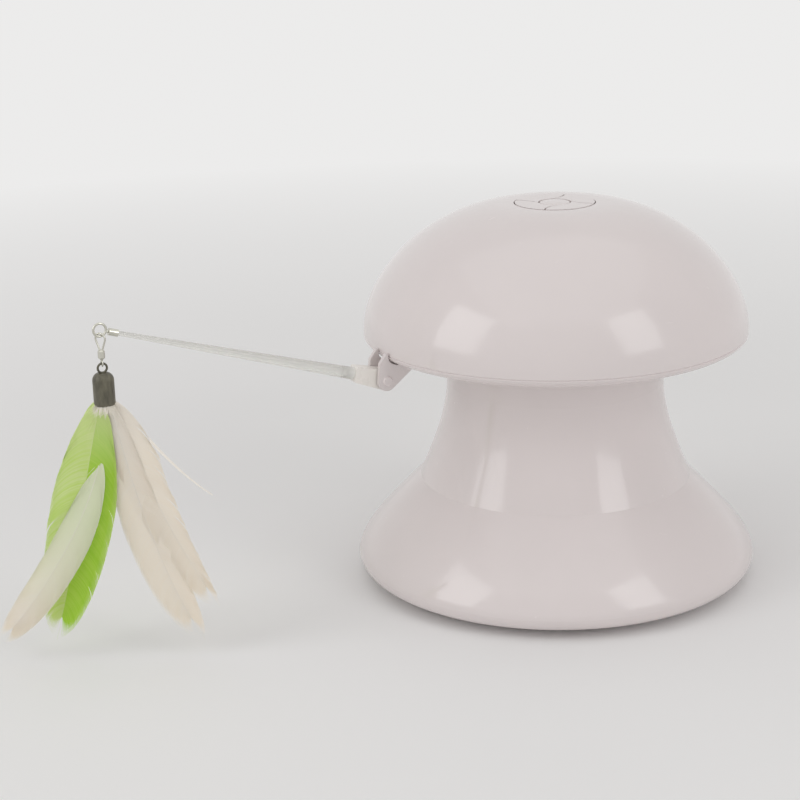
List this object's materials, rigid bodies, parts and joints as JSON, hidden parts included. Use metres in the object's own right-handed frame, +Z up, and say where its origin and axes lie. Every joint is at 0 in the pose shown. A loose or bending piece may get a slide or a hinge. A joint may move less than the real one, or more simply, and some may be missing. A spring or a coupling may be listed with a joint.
{
  "type": "automatic cat laser toy",
  "caption": "Bell-shaped pedestal with a domed turning head that carries a laser nozzle, a pinwheel keypad and a hinged wand with a hanging feather lure.",
  "frame": {"origin": "centre of the round footprint, on the surface the toy stands on", "axes": "+Z up through the head's spindle; the wand points to -X, the laser to +X and the power inlet to +Y"},
  "size_m": [0.339, 0.1798, 0.17],
  "materials": {
    "white_shell": "high-gloss injection-moulded white",
    "white_floor": "satin moulded white",
    "inner_plastic": "plain moulded",
    "dark_plastic": "satin moulded black",
    "gear_plastic": "greased natural acetal",
    "clear_plastic": "polished clear",
    "white_keys": "gloss",
    "rubber_black": "matt",
    "steel": "machined",
    "bright_wire": "polished wire",
    "brass_metal": "turned",
    "bronze_bush": "sintered",
    "circuit_board": "solder mask",
    "cell_jacket": "plain printed film",
    "lens": "polished",
    "green_feather": "dyed feather",
    "white_feather": "natural feather"
  },
  "bodies": {
    "base": {"pedestal_shell": "white_shell", "base_plate": "white_floor", "rubber_foot_ring": "rubber_black", "base_plate_screws": "steel", "battery_cells": "cell_jacket", "battery_contacts": "steel", "battery_door": "white_floor", "door_screw": "steel", "usb_socket": "steel", "power_board": "circuit_board", "spindle": "steel", "spindle_screws": "steel", "retaining_clip": "steel", "thrust_washer": "gear_plastic", "gearbox_housing": "inner_plastic", "motor_can": "steel", "gearbox_screws": "steel", "slip_ring_core": "dark_plastic", "slip_rings": "brass_metal"},
    "pinion": {"drive_pinion": "gear_plastic", "output_shaft": "steel"},
    "head": {"dome_shell": "white_shell", "dome_floor": "white_shell", "dome_screws": "steel", "ring_gear": "gear_plastic", "head_bush": "bronze_bush", "key_frame": "inner_plastic", "control_board": "circuit_board", "board_screws": "steel", "tact_switches": "dark_plastic", "brush_block": "inner_plastic", "brush_springs": "brass_metal", "laser_nozzle": "white_shell", "laser_module": "brass_metal", "laser_lens": "lens", "wand_bracket": "white_floor", "bracket_screws": "steel", "wand_pin": "steel"},
    "power_key": {"power_button": "white_keys"},
    "speed_1": {"speed_key_1": "white_keys"},
    "speed_2": {"speed_key_2": "white_keys"},
    "speed_3": {"speed_key_3": "white_keys"},
    "speed_4": {"speed_key_4": "white_keys"},
    "wand": {"wand_socket": "white_floor", "wand_rod": "clear_plastic", "tip_eyelet": "bright_wire"},
    "snap": {"snap_hook": "bright_wire", "swivel_barrel": "bright_wire"},
    "swivel": {"swivel_ring": "bright_wire"},
    "lure": {"lure_cap": "dark_plastic", "green_feathers": "green_feather", "white_feathers": "white_feather"}
  },
  "joints": [
    {"name": "head_spin", "type": "hinge", "parent": "base", "child": "head", "pos_m": [0, 0, 0.11], "axis": [0, 0, 1], "continuous": true},
    {"name": "pinion_spin", "type": "hinge", "parent": "base", "child": "pinion", "pos_m": [0.027, 0, 0.114], "axis": [0, 0, 1], "continuous": true},
    {"name": "wand_elbow", "type": "hinge", "parent": "head", "child": "wand", "pos_m": [-0.0862, 0, 0.1024], "axis": [0, 1, 0], "range_deg": [0, 50]},
    {"name": "snap_swing", "type": "hinge", "parent": "wand", "child": "snap", "pos_m": [-0.20926, 0, 0.14108], "axis": [0, 1, 0], "range_deg": [-25, 75]},
    {"name": "swivel_spin", "type": "hinge", "parent": "snap", "child": "swivel", "pos_m": [-0.20926, 0, 0.12738], "axis": [0, 0, 1], "continuous": true},
    {"name": "lure_swing", "type": "hinge", "parent": "swivel", "child": "lure", "pos_m": [-0.20926, 0, 0.12738], "axis": [1, 0, 0], "range_deg": [-50, 50]},
    {"name": "power_press", "type": "slide", "parent": "head", "child": "power_key", "axis": [0, 0, -1], "range_m": [0, 0.0006], "stiffness_N_per_m": 600},
    {"name": "speed_press_1", "type": "slide", "parent": "head", "child": "speed_1", "axis": [0, 0, -1], "range_m": [0, 0.0006], "stiffness_N_per_m": 600},
    {"name": "speed_press_2", "type": "slide", "parent": "head", "child": "speed_2", "axis": [0, 0, -1], "range_m": [0, 0.0006], "stiffness_N_per_m": 600},
    {"name": "speed_press_3", "type": "slide", "parent": "head", "child": "speed_3", "axis": [0, 0, -1], "range_m": [0, 0.0006], "stiffness_N_per_m": 600},
    {"name": "speed_press_4", "type": "slide", "parent": "head", "child": "speed_4", "axis": [0, 0, -1], "range_m": [0, 0.0006], "stiffness_N_per_m": 600}
  ],
  "couplings": [
    {"joint": "pinion_spin", "follows": "head_spin", "ratio": 4}
  ]
}
